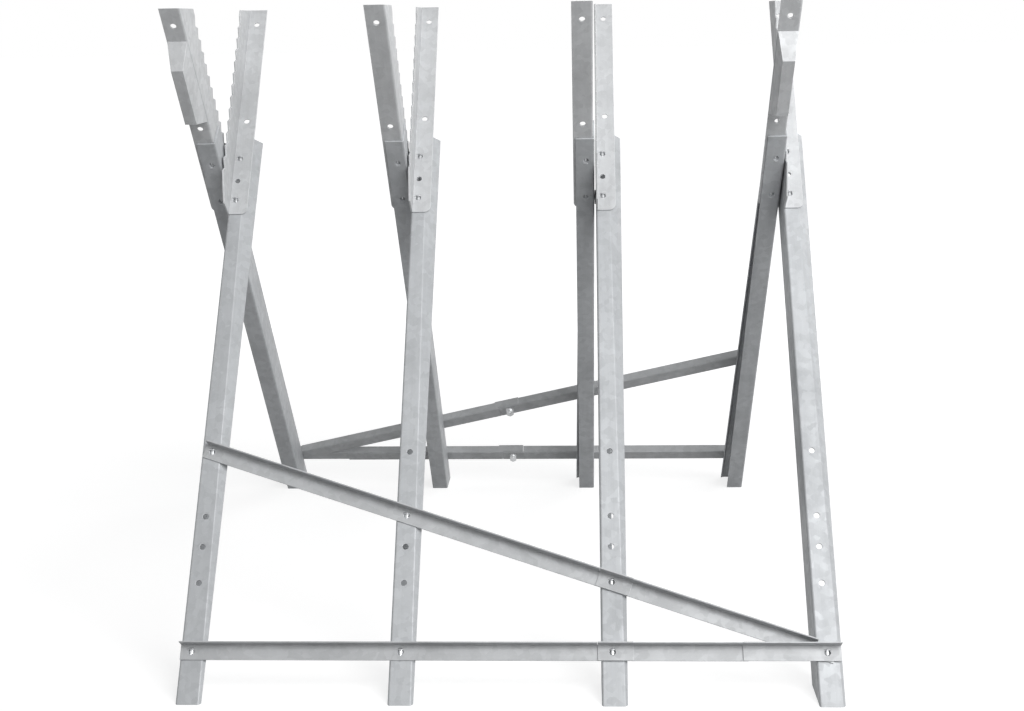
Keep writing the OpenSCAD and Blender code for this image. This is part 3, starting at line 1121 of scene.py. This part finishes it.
def floor_paint(settings):
    """Matt grey that is lifted to white where it is seen, and fully so away from the stand."""
    paint = bpy.data.materials.new("floor_paint")
    paint.use_nodes = True
    tree = paint.node_tree
    tree.nodes.clear()
    output = tree.nodes.new("ShaderNodeOutputMaterial")
    matt = tree.nodes.new("ShaderNodeBsdfDiffuse")
    matt.inputs["Color"].default_value = FLOOR_GREY
    lift = tree.nodes.new("ShaderNodeEmission")
    reach = tree.nodes.new("ShaderNodeVectorMath")
    reach.operation = "LENGTH"
    tree.links.new(object_place(tree), reach.inputs[0])
    rise = map_range(tree, reach.outputs["Value"], LIFT_START, LIFT_END, to_low=settings.floor_lift)
    tree.links.new(scaled(tree, seen_directly(tree), rise), lift.inputs["Strength"])
    both = tree.nodes.new("ShaderNodeAddShader")
    tree.links.new(matt.outputs["BSDF"], both.inputs[0])
    tree.links.new(lift.outputs["Emission"], both.inputs[1])
    tree.links.new(both.outputs["Shader"], output.inputs["Surface"])
    return paint


def add_floor(settings):
    """A pale floor that looks white but keeps its shadows."""
    form = bmesh.new()
    bmesh.ops.create_grid(form, x_segments=1, y_segments=1, size=settings.floor_size)
    mesh = bpy.data.meshes.new("floor")
    form.to_mesh(mesh)
    form.free()
    floor = bpy.data.objects.new("floor", mesh)
    bpy.context.scene.collection.objects.link(floor)
    mesh.materials.append(floor_paint(settings))


def add_sky(settings):
    """White all round where it is seen, and a soft sky for the light."""
    world = bpy.data.worlds.new("studio")
    bpy.context.scene.world = world
    world.use_nodes = True
    tree = world.node_tree
    tree.nodes.clear()
    output = tree.nodes.new("ShaderNodeOutputWorld")
    white = tree.nodes.new("ShaderNodeBackground")
    white.inputs["Color"].default_value = WHITE
    sky = tree.nodes.new("ShaderNodeBackground")
    sky.inputs["Color"].default_value = SKY_TINT
    sky.inputs["Strength"].default_value = settings.sky_strength
    pick = tree.nodes.new("ShaderNodeMixShader")
    tree.links.new(seen_directly(tree), pick.inputs[0])
    tree.links.new(sky.outputs["Background"], pick.inputs[1])
    tree.links.new(white.outputs["Background"], pick.inputs[2])
    tree.links.new(pick.outputs["Shader"], output.inputs["Surface"])


def add_lamp(name, place, power, settings):
    """A soft square lamp that points at the stand."""
    lamp = bpy.data.lights.new(name, "AREA")
    lamp.shape = "SQUARE"
    lamp.size = settings.lamp_size
    lamp.energy = power
    holder = bpy.data.objects.new(name, lamp)
    bpy.context.scene.collection.objects.link(holder)
    holder.location = place
    aim = Vector(settings.lamp_aim) - holder.location
    holder.rotation_euler = aim.to_track_quat("-Z", "Y").to_euler()


def add_camera(settings):
    """The camera of the photograph."""
    lens = bpy.data.cameras.new("camera")
    lens.sensor_fit = "HORIZONTAL"
    lens.sensor_width = SENSOR_WIDTH
    lens.lens = settings.focal_pixels * SENSOR_WIDTH / PHOTO_WIDTH
    camera = bpy.data.objects.new("camera", lens)
    bpy.context.scene.collection.objects.link(camera)
    yaw = settings.camera_yaw
    pitch = settings.camera_pitch
    roll = settings.camera_roll
    ahead = Vector((math.sin(yaw) * math.cos(pitch), math.cos(yaw) * math.cos(pitch), -math.sin(pitch)))
    right = Vector((math.cos(yaw), -math.sin(yaw), 0))
    above = right.cross(ahead)
    rolled_x = right * math.cos(roll) + above * math.sin(roll)
    rolled_y = above * math.cos(roll) - right * math.sin(roll)
    turned = Matrix((rolled_x, rolled_y, -ahead)).transposed()
    camera.matrix_world = Matrix.Translation(settings.camera_place) @ turned.to_4x4()
    bpy.context.scene.camera = camera


class STAND_OT_set_stage(bpy.types.Operator):
    """Set the pale floor, the soft light and the camera"""

    bl_idname = "stand.set_stage"
    bl_label = "Set Stage"

    def execute(self, context):
        settings = context.scene.stand_stage
        add_floor(settings)
        add_sky(settings)
        add_lamp("key", settings.key_place, settings.key_power, settings)
        add_lamp("fill", settings.fill_place, settings.fill_power, settings)
        add_camera(settings)
        context.scene.view_settings.view_transform = "Standard"
        return {"FINISHED"}


# Panel and registration


class STAND_PT_sidebar(bpy.types.Panel):
    """The stand's steps in the sidebar"""

    bl_idname = "STAND_PT_sidebar"
    bl_label = "Log Saw Stand"
    bl_space_type = "VIEW_3D"
    bl_region_type = "UI"
    bl_category = "Saw Stand"

    def draw(self, context):
        for step in STEPS:
            self.layout.operator(step.bl_idname)


SETTINGS = {
    "stand_sheet": SheetSettings,
    "stand_bolts": BoltSettings,
    "stand_zinc": ZincSettings,
    "stand_stage": StageSettings,
}
STEPS = (
    STAND_OT_press_legs,
    STAND_OT_tooth_arms,
    STAND_OT_fold_braces,
    STAND_OT_fold_brackets,
    STAND_OT_turn_bolts,
    STAND_OT_cut_nuts,
    STAND_OT_fit_pivots,
    STAND_OT_set_stage,
)


def register():
    for name, kind in SETTINGS.items():
        bpy.utils.register_class(kind)
        setattr(bpy.types.Scene, name, PointerProperty(type=kind))
    for step in STEPS:
        bpy.utils.register_class(step)
    bpy.utils.register_class(STAND_PT_sidebar)


def unregister():
    bpy.utils.unregister_class(STAND_PT_sidebar)
    for step in reversed(STEPS):
        bpy.utils.unregister_class(step)
    for name, kind in SETTINGS.items():
        delattr(bpy.types.Scene, name)
        bpy.utils.unregister_class(kind)


def main():
    register()
    bpy.ops.stand.press_legs()
    bpy.ops.stand.tooth_arms()
    bpy.ops.stand.fold_braces()
    bpy.ops.stand.fold_brackets()
    bpy.ops.stand.turn_bolts()
    bpy.ops.stand.cut_nuts()
    bpy.ops.stand.fit_pivots()
    bpy.ops.stand.set_stage()


if __name__ == "__main__":
    main()
